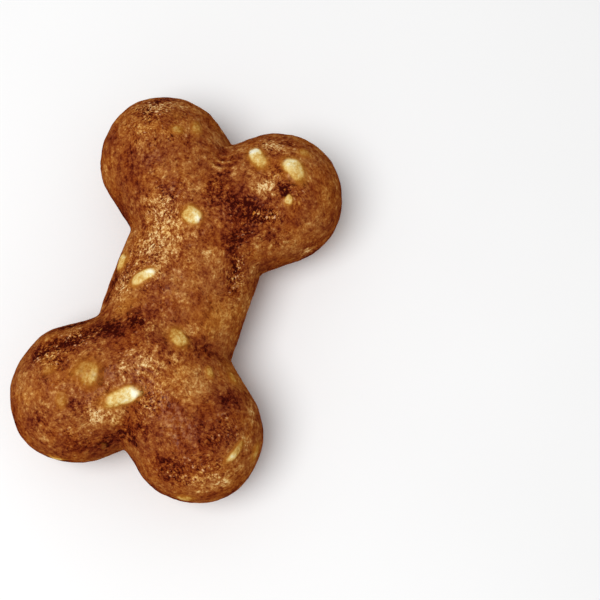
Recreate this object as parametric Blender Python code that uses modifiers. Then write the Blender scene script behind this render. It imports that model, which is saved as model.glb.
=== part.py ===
"""A bone-shaped baked dog treat, lying on its flat underside.

Four round lobes grow out of the two ends of a thick shaft. Each lobe leaves the long axis on
a slant, so that both ends are notched and the waist is straight. Pale grains sit in the crust
and stand a little proud of it. +X runs along the treat, +Z is up, and the origin is under the
middle of the treat, on the surface that it rests on.
"""

import math
import random
from collections import namedtuple

import bmesh
import bpy
from mathutils import Matrix, Vector
from mathutils.bvhtree import BVHTree

MM = 0.001

# Driving sizes of the treat, over its smooth form. The baked relief adds a few tenths.
LENGTH = 60.0 * MM
WIDTH = 39.6 * MM
HEIGHT = 18.5 * MM
LOBE_RADIUS = 10.34 * MM
SHAFT_WIDTH = 21.6 * MM
SHAFT_HEIGHT = 18.0 * MM
ROOT_X = 11.9 * MM  # on the long axis, the point that a pair of lobes grows out of

# What follows from them
LOBE_X = LENGTH / 2 - LOBE_RADIUS
LOBE_Y = WIDTH / 2 - LOBE_RADIUS
AXIS_Z = HEIGHT - LOBE_RADIUS  # the lobes' centres, above the flat underside

# Baked surface
ROUND_SIDES = 40  # faces round each ball and rod, before the crust is made one skin
CELL = 1.36 * MM  # side of a face, once the crust is made one skin
MELT_ROUNDS = 2  # rounds of smoothing that melt the joins into each other
LUMP_SIZE = 4.6 * MM
LUMP_HEIGHT = 0.44 * MM
CRAG_SIZE = 2.3 * MM
CRAG_HEIGHT = 0.34 * MM
RELIEF_LEVEL = 0.32  # share of the relief that sinks into the smooth form

# Grains set in the crust
GRAIN_PROUD = 0.3  # share of a grain's thickness that stands out of the crust
GRAIN_FLATNESS = 0.62  # thickness over width
GRAIN_SIDES = 8
GRAIN_RINGS = 5
HIDDEN_GRAINS = 24
HIDDEN_SPACING = 5.0 * MM
HIDDEN_LENGTHS = (2.2 * MM, 4.2 * MM)
HIDDEN_SLIMNESS = (0.5, 0.8)  # width over length
HIDDEN_HEADING = (-0.95, 0.2)  # how far up the side a hidden grain lies: -1 is straight below
SHARE_ON_LOBES = 0.75
SEED = 7

# A grain on the upper side: where it lies in plan, how long and wide it is, and its heading
# in degrees from +X towards +Y. All lengths here are in millimetres.
Grain = namedtuple("Grain", "along across length width heading")
SHOWN_GRAINS = (
    # Lobe at +X, -Y
    Grain(22.2, -5.5, 4.2, 2.0, 45),
    Grain(22.3, -11.3, 4.3, 3.1, 58),
    Grain(17.4, -12.1, 2.0, 1.5, -7),
    Grain(25.6, -11.8, 2.4, 2.0, -58),
    # Lobe at +X, +Y
    Grain(24.1, 5.2, 2.9, 2.0, 7),
    Grain(22.5, 7.5, 2.3, 1.7, -65),
    # Shaft
    Grain(10.4, 0.8, 3.4, 2.7, 73),
    Grain(-0.5, 5.0, 4.6, 2.1, -47),
    Grain(1.2, 9.0, 3.2, 2.0, -6),
    Grain(-7.6, -3.2, 3.2, 2.5, 69),
    # Lobe at -X, +Y
    Grain(-16.8, 7.2, 3.8, 3.3, 79),
    Grain(-18.4, 1.3, 5.6, 2.4, -52),
    Grain(-21.8, 9.4, 2.6, 1.7, 19),
    Grain(-18.2, 12.9, 2.3, 1.9, -74),
    Grain(-29.2, 8.9, 3.2, 2.0, -82),
    # Lobe at -X, -Y
    Grain(-10.9, -9.3, 2.0, 1.5, 21),
    Grain(-10.3, -12.4, 2.4, 1.9, 22),
    Grain(-20.5, -16.7, 4.7, 1.6, -31),
    Grain(-19.6, -19.2, 3.1, 1.9, 8),
    Grain(-29.2, -11.5, 2.9, 1.9, -72),
)

CRUST_COLOUR = (0.27, 0.085, 0.022, 1.0)
GRAIN_COLOUR = (0.72, 0.47, 0.17, 1.0)


def clear_scene():
    """Empties the file that the script runs in."""
    for old in list(bpy.data.objects):
        bpy.data.objects.remove(old, do_unlink=True)


def new_collection(name):
    made = bpy.data.collections.new(name)
    bpy.context.scene.collection.children.link(made)
    return made


def new_material(name, colour, roughness):
    made = bpy.data.materials.new(name)
    made.use_nodes = True
    shader = made.node_tree.nodes["Principled BSDF"]
    shader.inputs["Base Color"].default_value = colour
    shader.inputs["Roughness"].default_value = roughness
    shader.inputs["Metallic"].default_value = 0.0
    made.diffuse_color = colour
    return made


def object_from(shape, name, collection, material):
    """A new object that takes over a bmesh."""
    mesh = bpy.data.meshes.new(name)
    shape.to_mesh(mesh)
    shape.free()
    mesh.materials.append(material)
    made = bpy.data.objects.new(name, mesh)
    collection.objects.link(made)
    return made


def apply_modifiers(obj):
    """Makes the object's mesh what its modifiers show."""
    graph = bpy.context.evaluated_depsgraph_get()
    shown = bpy.data.meshes.new_from_object(obj.evaluated_get(graph))
    obj.modifiers.clear()
    obj.data = shown


def join_and_drop(body, tools, operation="UNION"):
    """Joins a collection of closed shapes to the body, or cuts them out, and removes them."""
    join = body.modifiers.new(operation.title(), "BOOLEAN")
    join.operation = operation
    join.operand_type = "COLLECTION"
    join.collection = tools
    join.solver = "EXACT"
    apply_modifiers(body)
    for tool in list(tools.objects):
        bpy.data.objects.remove(tool, do_unlink=True)
    bpy.data.collections.remove(tools)


def ball(centre, radius, name, collection, material):
    shape = bmesh.new()
    bmesh.ops.create_uvsphere(
        shape,
        u_segments=ROUND_SIDES,
        v_segments=ROUND_SIDES // 2,
        radius=radius,
        matrix=Matrix.Translation(centre),
    )
    return object_from(shape, name, collection, material)


def rod(start, end, radius, name, collection, material):
    """A round rod between two points."""
    axis = end - start
    turn = Vector((0, 0, 1)).rotation_difference(axis).to_matrix().to_4x4()
    shape = bmesh.new()
    bmesh.ops.create_cone(
        shape,
        cap_ends=True,
        segments=ROUND_SIDES,
        radius1=radius,
        radius2=radius,
        depth=axis.length,
        matrix=Matrix.Translation((start + end) / 2) @ turn,
    )
    return object_from(shape, name, collection, material)


def shaft(name, collection, material):
    """The thick middle: a rod along X, wider than it is high."""
    made = rod(
        Vector((-ROOT_X, 0, 0)), Vector((ROOT_X, 0, 0)), 0.5, name, collection, material
    )
    made.data.transform(Matrix.Diagonal((1, SHAFT_WIDTH, SHAFT_HEIGHT, 1)))
    made.data.transform(Matrix.Translation((0, 0, AXIS_Z)))
    return made


def lobes(collection, material):
    """Four lobes. Each is a ball on its centre, a rod back to the root, and a ball there."""
    for end in (1, -1):
        root = Vector((end * ROOT_X, 0, AXIS_Z))
        ball(root, LOBE_RADIUS, "root_ball", collection, material)
        for side in (1, -1):
            centre = Vector((end * LOBE_X, side * LOBE_Y, AXIS_Z))
            ball(centre, LOBE_RADIUS, "lobe_ball", collection, material)
            rod(root, centre, LOBE_RADIUS, "lobe_rod", collection, material)


def displace(obj, name, size, height):
    """Roughens the surface with lumps of the given size, as high as height."""
    clouds = bpy.data.textures.new(name, "CLOUDS")
    clouds.noise_scale = size
    clouds.noise_depth = 1
    relief = obj.modifiers.new(name, "DISPLACE")
    relief.texture = clouds
    relief.strength = height
    relief.mid_level = RELIEF_LEVEL


def baked_body(collection, material):
    """The crust: shaft and lobes made one skin, melted together and roughened."""
    body = shaft("bone_treat", collection, material)
    tools = new_collection("lobe_shapes")
    lobes(tools, material)
    join_and_drop(body, tools)
    skin = body.modifiers.new("OneSkin", "REMESH")
    skin.mode = "VOXEL"
    skin.voxel_size = CELL
    melt = body.modifiers.new("Melt", "SMOOTH")
    melt.factor = 0.5
    melt.iterations = MELT_ROUNDS
    displace(body, "Lumps", LUMP_SIZE, LUMP_HEIGHT)
    displace(body, "Crags", CRAG_SIZE, CRAG_HEIGHT)
    apply_modifiers(body)
    return body


def surface_of(body):
    shape = bmesh.new()
    shape.from_mesh(body.data)
    tree = BVHTree.FromBMesh(shape)
    shape.free()
    return tree


def add_grain(place, normal, heading, length, width, collection, material):
    """One grain: a flattened ball that lies along heading on the surface, partly sunk."""
    along = (heading - normal * heading.dot(normal)).normalized()
    across = normal.cross(along)
    thickness = width * GRAIN_FLATNESS
    centre = place + normal * thickness * (GRAIN_PROUD - 0.5)
    turn = Matrix((along, across, normal)).transposed().to_4x4()
    shape = bmesh.new()
    bmesh.ops.create_uvsphere(
        shape,
        u_segments=GRAIN_SIDES,
        v_segments=GRAIN_RINGS,
        radius=0.5,
        matrix=Matrix.Translation(centre) @ turn @ Matrix.Diagonal((length, width, thickness, 1)),
    )
    return object_from(shape, "grain", collection, material)


def shown_grains(surface, collection, material):
    """The grains of the upper side, each dropped on to the crust from above."""
    places = []
    for grain in SHOWN_GRAINS:
        above = Vector((grain.along * MM, grain.across * MM, 2 * HEIGHT))
        place, normal, _, _ = surface.ray_cast(above, Vector((0, 0, -1)))
        turn = math.radians(grain.heading)
        heading = Vector((math.cos(turn), math.sin(turn), 0))
        length, width = grain.length * MM, grain.width * MM
        add_grain(place, normal, heading, length, width, collection, material)
        places.append(place)
    return places


def hidden_grains(surface, places, collection, material):
    """More grains on the sides and underneath, scattered but kept apart."""
    draw = random.Random(SEED)
    made = 0
    while made < HIDDEN_GRAINS:
        on_lobe = draw.random() < SHARE_ON_LOBES
        spine_x = draw.choice((-1, 1)) * LOBE_X if on_lobe else draw.uniform(-ROOT_X, ROOT_X)
        spine_y = draw.choice((-1, 1)) * LOBE_Y if on_lobe else 0.0
        round_about = draw.uniform(0, 2 * math.pi)
        up = draw.uniform(*HIDDEN_HEADING)
        level = math.sqrt(1 - up * up)
        out = Vector((level * math.cos(round_about), level * math.sin(round_about), up))
        heading = Vector((draw.gauss(0, 1), draw.gauss(0, 1), draw.gauss(0, 1)))
        length = draw.uniform(*HIDDEN_LENGTHS)
        width = length * draw.uniform(*HIDDEN_SLIMNESS)
        spine = Vector((spine_x, spine_y, AXIS_Z))
        place, normal, _, _ = surface.ray_cast(spine + out * LENGTH, -out)
        if min((place - other).length for other in places) < HIDDEN_SPACING:
            continue
        add_grain(place, normal, heading, length, width, collection, material)
        places.append(place)
        made += 1


def flatten_underside(body, material):
    """Cuts the treat off flat at the level of the surface that it was baked on."""
    slabs = new_collection("base_slab")
    side = 2 * LENGTH
    shape = bmesh.new()
    bmesh.ops.create_cube(shape, size=side, matrix=Matrix.Translation((0, 0, -side / 2)))
    object_from(shape, "slab", slabs, material)
    join_and_drop(body, slabs, "DIFFERENCE")


def centre_in_plan(body):
    """Moves the middle of the treat's length and width to the origin."""
    corners = [Vector(corner) for corner in body.bound_box]
    middle = (Vector(map(min, *corners)) + Vector(map(max, *corners))) / 2
    body.data.transform(Matrix.Translation((-middle.x, -middle.y, 0)))
    body.data.update()


def main():
    clear_scene()
    treat = new_collection("dog_treat")
    crust = new_material("baked_crust", CRUST_COLOUR, 0.42)
    pale = new_material("pale_grain", GRAIN_COLOUR, 0.35)
    body = baked_body(treat, crust)
    grains = new_collection("grains")
    surface = surface_of(body)
    places = shown_grains(surface, grains, pale)
    hidden_grains(surface, places, grains, pale)
    join_and_drop(body, grains)
    flatten_underside(body, crust)
    centre_in_plan(body)


main()
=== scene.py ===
"""The looks of a bone-shaped baked dog treat that lies on a pale table.

The crust is one closed skin: six square grids wrapped round a smooth form of four slanted lobes
and a shaft, evened out, and raised and sunk by the relief of baked dough. The grains are small
kernels that lie in it. Broad colour comes from masks worked out at each point of the skin, and
fine colour from noise in the materials.
"""

import logging
import math
import random
from dataclasses import dataclass
from enum import Enum

import bpy
import numpy as np
from mathutils import Matrix, Vector


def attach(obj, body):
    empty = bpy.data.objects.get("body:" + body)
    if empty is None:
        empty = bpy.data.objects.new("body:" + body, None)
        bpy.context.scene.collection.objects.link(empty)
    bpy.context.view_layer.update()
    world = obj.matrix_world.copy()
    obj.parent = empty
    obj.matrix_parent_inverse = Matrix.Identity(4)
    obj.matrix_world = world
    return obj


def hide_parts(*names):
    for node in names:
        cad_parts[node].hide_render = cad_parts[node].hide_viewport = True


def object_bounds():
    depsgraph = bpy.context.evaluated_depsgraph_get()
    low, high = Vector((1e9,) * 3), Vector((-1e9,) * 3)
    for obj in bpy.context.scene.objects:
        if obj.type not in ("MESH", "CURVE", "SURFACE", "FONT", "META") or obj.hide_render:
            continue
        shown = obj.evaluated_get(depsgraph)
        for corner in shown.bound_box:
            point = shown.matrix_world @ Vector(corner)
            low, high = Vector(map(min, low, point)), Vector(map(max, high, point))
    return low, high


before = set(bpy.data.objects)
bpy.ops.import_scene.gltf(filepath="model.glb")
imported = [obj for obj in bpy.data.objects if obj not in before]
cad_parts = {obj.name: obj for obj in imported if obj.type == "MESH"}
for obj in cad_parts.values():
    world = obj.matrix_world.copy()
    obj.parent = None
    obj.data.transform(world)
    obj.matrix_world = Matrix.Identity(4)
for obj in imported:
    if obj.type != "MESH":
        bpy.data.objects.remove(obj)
CAD_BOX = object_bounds()

Array = np.ndarray
Socket = bpy.types.NodeSocket
Colour = tuple[float, float, float, float]

MM = 0.001
TINY = 1e-9  # keeps a divisor away from 0
NODE = "bone_treat"
BODY = "root"

HASH_FACTORS = np.array([0x9E3779B97F4A7C15, 0xC2B2AE3D27D4EB4F, 0x165667B19E3779F9], np.uint64)
HASH_SEED_FACTOR = 0x27D4EB2F165667C5
HASH_MIX = np.uint64(0xBF58476D1CE4E5B9)
HASH_SHIFTS = (30, 27)
HASH_BITS = 40  # how many of the mixed bits are kept
OCTAVE_TURN = np.array(Matrix.Rotation(0.9, 3, "X") @ Matrix.Rotation(0.6, 3, "Z"))

log = logging.getLogger("dog_treat")


def from_srgb(red: int, green: int, blue: int) -> Colour:
    """Turns a colour of 0 to 255 a channel into the linear colour that a shader takes.

    This is the standard curve: a straight line near black, and a power of 2.4 above it.

    Args:
        red: the red channel.
        green: the green channel.
        blue: the blue channel.

    Returns:
        The linear red, green and blue, and an alpha of 1.
    """
    shares = np.array([red, green, blue]) / 255
    linear = np.where(shares <= 0.04045, shares / 12.92, ((shares + 0.055) / 1.055) ** 2.4)
    return (*linear.tolist(), 1.0)


def smooth_step(values: Array, low: float, high: float) -> Array:
    """Rises from 0 at low to 1 at high along t * t * (3 - 2 * t)."""
    part = np.clip((values - low) / (high - low), 0, 1)
    return part * part * (3 - 2 * part)


def smooth_min(first: Array, second: Array, reach: float) -> Array:
    """The lower of two distances, with a round join.

    Where they differ by less than reach, the result is lower by (reach - difference) squared
    over four times reach.

    Args:
        first: one distance for each point.
        second: the other distance for each point.
        reach: how much they may differ and still be joined.

    Returns:
        One distance for each point.
    """
    near = np.maximum(reach - np.abs(first - second), 0)
    return np.minimum(first, second) - near * near / (4 * reach)


def cell_number(cells: Array, seed: int) -> Array:
    """Gives each whole-number cell a repeatable number from 0 to 1.

    The cell's three numbers and the seed are multiplied by large odd numbers and added. The sum
    is crossed with itself, shifted down, and multiplied, twice, and its top bits are kept.

    Args:
        cells: whole numbers, three to a cell, along the last axis.
        seed: another seed gives other numbers.

    Returns:
        One number for each cell.
    """
    whole = cells.astype(np.int64).view(np.uint64)
    mixed = (whole * HASH_FACTORS).sum(axis=-1, dtype=np.uint64)
    mixed = mixed + np.uint64(seed * HASH_SEED_FACTOR % 2**64)
    for shift in HASH_SHIFTS:
        mixed = (mixed ^ (mixed >> np.uint64(shift))) * HASH_MIX
    return (mixed >> np.uint64(64 - HASH_BITS)) / 2.0**HASH_BITS


def noise(points: Array, size: float, seed: int) -> Array:
    """Smooth noise from -1 to 1.

    Each cell of a cube lattice has a number at its eight corners, and a point takes their mean,
    weighted on each axis by t * t * (3 - 2 * t) of its place in the cell.

    Args:
        points: where to work it out, three coordinates to a row.
        size: the side of a cell.
        seed: another seed gives other noise.

    Returns:
        One value for each point.
    """
    scaled = points / size
    cell = np.floor(scaled)
    fade = smooth_step(scaled - cell, 0, 1)
    total = np.zeros(len(points))
    for corner in np.ndindex(2, 2, 2):
        weight = np.where(corner, fade, 1 - fade).prod(axis=1)
        total += weight * cell_number(cell + corner, seed)
    return 2 * total - 1


def fractal(points: Array, size: float, octaves: int, gain: float, seed: int) -> Array:
    """Noise added over octaves, of about unit spread.

    Each octave is turned, half the size of the one before and gain times as strong, and the sum
    is divided by the root of the summed squares of their strengths.

    Args:
        points: where to work it out.
        size: the side of the first octave's cells.
        octaves: how many are added.
        gain: the strength of an octave over that of the one before.
        seed: another seed gives other noise.

    Returns:
        One value for each point.
    """
    total = np.zeros(len(points))
    power = 0.0
    for octave in range(octaves):
        strength = gain**octave
        total += strength * noise(points, size / 2**octave, seed + octave)
        power += strength * strength
        points = points @ OCTAVE_TURN
    return total / math.sqrt(power)


def cell_distance(points: Array, size: float, seed: int) -> Array:
    """Distance to the nearest of the points scattered one to a cell, over the cell's side.

    Args:
        points: where to measure from.
        size: the side of a cell.
        seed: another seed scatters them otherwise.

    Returns:
        One distance for each point, 0 on a scattered point and about 1 far from all of them.
    """
    scaled = points / size
    cell = np.floor(scaled)
    nearest = np.full(len(points), np.inf)
    for step in np.ndindex(3, 3, 3):
        near = cell + step - 1
        spot = np.stack([cell_number(near, seed + axis) for axis in range(3)], axis=1)
        nearest = np.minimum(nearest, ((near + spot - scaled) ** 2).sum(axis=1))
    return np.sqrt(nearest)


@dataclass(frozen=True)
class BoneForm:
    """The smooth bone: four slanted lobes and a shaft that melt together on a flat base.

    Crease and base_edge are how round the joins and the base's edge are. Normal_step, cast_rounds,
    cast_share and halvings say how finely the surface is searched for.
    """

    length: float = 60.0 * MM
    width: float = 39.6 * MM
    height: float = 18.5 * MM
    lobe_radius: float = 10.34 * MM
    shaft_width: float = 21.6 * MM
    shaft_height: float = 18.0 * MM
    root_x: float = 11.9 * MM
    crease: float = 0.45 * MM
    base_edge: float = 2.2 * MM
    normal_step: float = 0.02 * MM
    cast_rounds: int = 120
    cast_share: float = 0.9
    halvings: int = 40

    @property
    def lobe_centre(self) -> Array:
        """The plan place of the centre of the lobe at +X, +Y."""
        return np.array([self.length / 2, self.width / 2]) - self.lobe_radius

    @property
    def axis_z(self) -> float:
        """How high the centres of the lobes and the shaft lie."""
        return self.height - self.lobe_radius

    def lobe_distance(self, points: Array, side: int) -> Array:
        """Distance to the lobe on one side, of the end that a point is at.

        The lobe is all that lies within its radius of the line from the root to its centre.

        Args:
            points: where to measure from.
            side: 1 for the lobe at +Y, and -1 for the one at -Y.

        Returns:
            One distance for each point, negative inside.
        """
        root = np.array([self.root_x, 0.0])
        line = self.lobe_centre - root
        plan = np.stack([np.abs(points[:, 0]), side * points[:, 1]], axis=1) - root
        share = np.clip(plan @ line / (line @ line), 0, 1)
        off = plan - share[:, None] * line
        rise = points[:, 2] - self.axis_z
        return np.sqrt((off**2).sum(axis=1) + rise**2) - self.lobe_radius

    def shaft_distance(self, points: Array) -> Array:
        """Distance to the shaft, an oval rod along X that ends inside the lobes.

        With k the length of the offset over the half sides, and g the length of the offset over
        their squares, the distance to the oval is k * (k - 1) / g.

        Args:
            points: where to measure from.

        Returns:
            One distance for each point, negative inside.
        """
        half = np.array([self.shaft_width, self.shaft_height]) / 2
        offset = points[:, 1:] - np.array([0.0, self.axis_z])
        reach = np.sqrt(((offset / half) ** 2).sum(axis=1))
        slope = np.sqrt(((offset / half**2) ** 2).sum(axis=1))
        oval = reach * (reach - 1) / np.maximum(slope, TINY)
        return np.maximum(oval, np.abs(points[:, 0]) - self.root_x)

    def distance(self, points: Array) -> Array:
        """Distance to the bone: the parts joined smoothly, and cut flat at z = 0.

        It is the smooth lowest of the parts' distances. Its negative and the height are joined
        smoothly too, which rounds the edge of the base.

        Args:
            points: where to measure from.

        Returns:
            One distance for each point, negative inside.
        """
        lobes = smooth_min(self.lobe_distance(points, 1), self.lobe_distance(points, -1), self.crease)
        whole = smooth_min(lobes, self.shaft_distance(points), self.crease)
        return -smooth_min(-whole, points[:, 2], self.base_edge)

    def crease_depth(self, points: Array) -> Array:
        """How near a point is to a join between two parts, from 0 to 1.

        It is 1 where the distances to the two nearest parts are equal, and 0 where they differ by
        more than twice the crease.

        Args:
            points: points near the surface.

        Returns:
            One depth for each point.
        """
        parts = np.stack(
            [self.lobe_distance(points, 1), self.lobe_distance(points, -1), self.shaft_distance(points)]
        )
        nearest = np.sort(parts, axis=0)
        return 1 - smooth_step(nearest[1] - nearest[0], 0, 2 * self.crease)

    def normals(self, points: Array) -> Array:
        """Unit normals, from the differences of the distance over a short step on each axis.

        Args:
            points: points near the surface.

        Returns:
            One normal for each point, facing out.
        """
        steps = self.normal_step * np.eye(3)
        slopes = [self.distance(points + step) - self.distance(points - step) for step in steps]
        normals = np.stack(slopes, axis=1)
        return normals / np.linalg.norm(normals, axis=1, keepdims=True)

    def settle(self, points: Array, rounds: int = 1) -> Array:
        """Moves points on to the surface, by their distance along the normal, round by round.

        Args:
            points: points near the surface.
            rounds: how many times they are moved.

        Returns:
            The points on the surface.
        """
        for _ in range(rounds):
            points = points - self.distance(points)[:, None] * self.normals(points)
        return points

    def cast(self, starts: Array, directions: Array) -> Array:
        """Where rays meet the surface: each goes on by a share of its distance, round by round.

        Args:
            starts: where the rays start, outside the bone.
            directions: their unit directions.

        Returns:
            One point for each ray.
        """
        points = starts.copy()
        for _ in range(self.cast_rounds):
            points = points + self.cast_share * self.distance(points)[:, None] * directions
        return points

    def radial(self, directions: Array) -> Array:
        """Points on the surface along directions from the middle, by halving the range over and over.

        Args:
            directions: unit directions.

        Returns:
            One point for each direction.
        """
        middle = np.array([0.0, 0.0, self.axis_z])
        low = np.zeros(len(directions))
        high = np.full(len(directions), self.length)
        for _ in range(self.halvings):
            half = (low + high) / 2
            inside = self.distance(middle + half[:, None] * directions) < 0
            low = np.where(inside, half, low)
            high = np.where(inside, high, half)
        return middle + low[:, None] * directions


def box_grids(side: int) -> Array:
    """Six square grids that cover a box of whole-number points.

    On each face two of the three numbers run from 0 to side and the third stays at 0 or side,
    in the order that makes the quads face out.

    Args:
        side: how many cells lie along each side of a grid.

    Returns:
        Whole numbers, with the axes face, u, v and coordinate.
    """
    along, across = np.meshgrid(np.arange(side + 1), np.arange(side + 1), indexing="ij")
    grids = []
    for axis in range(3):
        for level in (0, side):
            grid = np.empty((side + 1, side + 1, 3), int)
            first, second = (axis + 1) % 3, (axis + 2) % 3
            if level == 0:
                first, second = second, first
            grid[..., axis] = level
            grid[..., first] = along
            grid[..., second] = across
            grids.append(grid)
    return np.stack(grids)


def welded_quads(side: int) -> tuple[Array, Array]:
    """The quads of the six grids, with the points that they share at the edges made one.

    Args:
        side: how many cells lie along each side of a grid.

    Returns:
        For each kept point its place in the flat list of grid points, and four kept points to
        each quad.
    """
    grids = box_grids(side)
    keys = grids.reshape(-1, 3) @ np.array([(side + 1) ** 2, side + 1, 1])
    _, kept, number = np.unique(keys, return_index=True, return_inverse=True)
    number = number.reshape(grids.shape[:3])
    corners = [number[:, :-1, :-1], number[:, 1:, :-1], number[:, 1:, 1:], number[:, :-1, 1:]]
    return kept, np.stack(corners, axis=-1).reshape(-1, 4)


def ball_directions(side: int) -> Array:
    """Unit directions through the six grids' points, spread by the tangent of an even angle.

    Args:
        side: how many cells lie along each side of a grid.

    Returns:
        Unit directions, with the axes face, u, v and coordinate.
    """
    share = 2 * box_grids(side) / side - 1
    spread = np.tan(math.pi / 4 * share)
    return spread / np.linalg.norm(spread, axis=-1, keepdims=True)


@dataclass(frozen=True)
class Skin:
    """A closed skin: its points, its quads and its point normals."""

    points: Array
    quads: Array
    normals: Array


@dataclass(frozen=True)
class SkinWrap:
    """Wraps the six grids round a form and evens out their cells."""

    coarse: int = 32
    fine: int = 128
    coarse_rounds: int = 160
    fine_rounds: int = 14

    @staticmethod
    def evened(points: Array, quads: Array, form: BoneForm, rounds: int) -> Array:
        """Evens out the cells, round by round.

        Each point goes to the mean of the middles of the quads round it, weighted by their areas,
        which draws it towards the larger ones, and then back on to the surface.

        Args:
            points: points on the surface.
            quads: four point numbers to a quad.
            form: the form that the points lie on.
            rounds: how many times they are moved.

        Returns:
            The points' new places.
        """
        corners_of = quads.ravel()
        for _ in range(rounds):
            corners = points[quads]
            diagonals = corners[:, 2:] - corners[:, :2]
            areas = np.linalg.norm(np.cross(diagonals[:, 0], diagonals[:, 1]), axis=1)
            pulls = corners.mean(axis=1) * areas[:, None]
            weights = np.bincount(corners_of, np.repeat(areas, 4), len(points))
            sums = [np.bincount(corners_of, np.repeat(pull, 4), len(points)) for pull in pulls.T]
            points = form.settle(np.stack(sums, axis=1) / weights[:, None])
        return points

    def wrap(self, form: BoneForm) -> Skin:
        """Wraps the form: coarse grids first, then the finer ones read from them.

        A fine grid's points are straight means of the coarse grid's, first along u and then
        along v, settled on to the form.

        Args:
            form: the form to wrap.

        Returns:
            The skin.
        """
        kept, quads = welded_quads(self.coarse)
        points = form.radial(ball_directions(self.coarse).reshape(-1, 3)[kept])
        points = self.evened(points, quads, form, self.coarse_rounds)
        grids = box_grids(self.coarse)
        keys = grids @ np.array([(self.coarse + 1) ** 2, self.coarse + 1, 1])
        coarse = points[np.unique(keys, return_inverse=True)[1].reshape(keys.shape)]
        steps = np.linspace(0, self.coarse, self.fine + 1)
        weights = np.maximum(1 - np.abs(steps[:, None] - np.arange(self.coarse + 1)), 0)
        fine = np.einsum("ua,vb,fabc->fuvc", weights, weights, coarse)
        kept, quads = welded_quads(self.fine)
        points = form.settle(fine.reshape(-1, 3)[kept], 3)
        points = self.evened(points, quads, form, self.fine_rounds)
        return Skin(points, quads, form.normals(points))


class Tint(Enum):
    """The kinds of broad colour that lie on the crust."""

    CHAR = "char"
    PALE = "pale"
    GOLD = "gold"
    ROUGH = "rough"


@dataclass(frozen=True)
class Patch:
    """A patch of colour on the upper side. Its lengths are in millimetres.

    Its strength falls off as exp(-d * d), where d is the distance from its middle over reach,
    or over reach times stretch along its heading.
    """

    along: float
    across: float
    reach: float
    stretch: float = 1.0
    heading: float = 0.0
    strength: float = 1.0

    def weights(self, points: Array, form: BoneForm) -> Array:
        """The patch's strength at each point.

        Args:
            points: points near the form.
            form: the form that the patch's middle drops on to.

        Returns:
            One strength for each point.
        """
        above = np.array([[self.along * MM, self.across * MM, 2 * form.height]])
        middle = form.cast(above, np.array([[0.0, 0.0, -1.0]]))[0]
        turn = math.radians(self.heading)
        line = np.array([math.cos(turn), math.sin(turn), 0.0])
        offset = points - middle
        run = offset @ line
        off = ((offset - run[:, None] * line) ** 2).sum(axis=1)
        reach = self.reach * MM
        return self.strength * np.exp(-off / reach**2 - (run / (reach * self.stretch)) ** 2)


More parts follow.
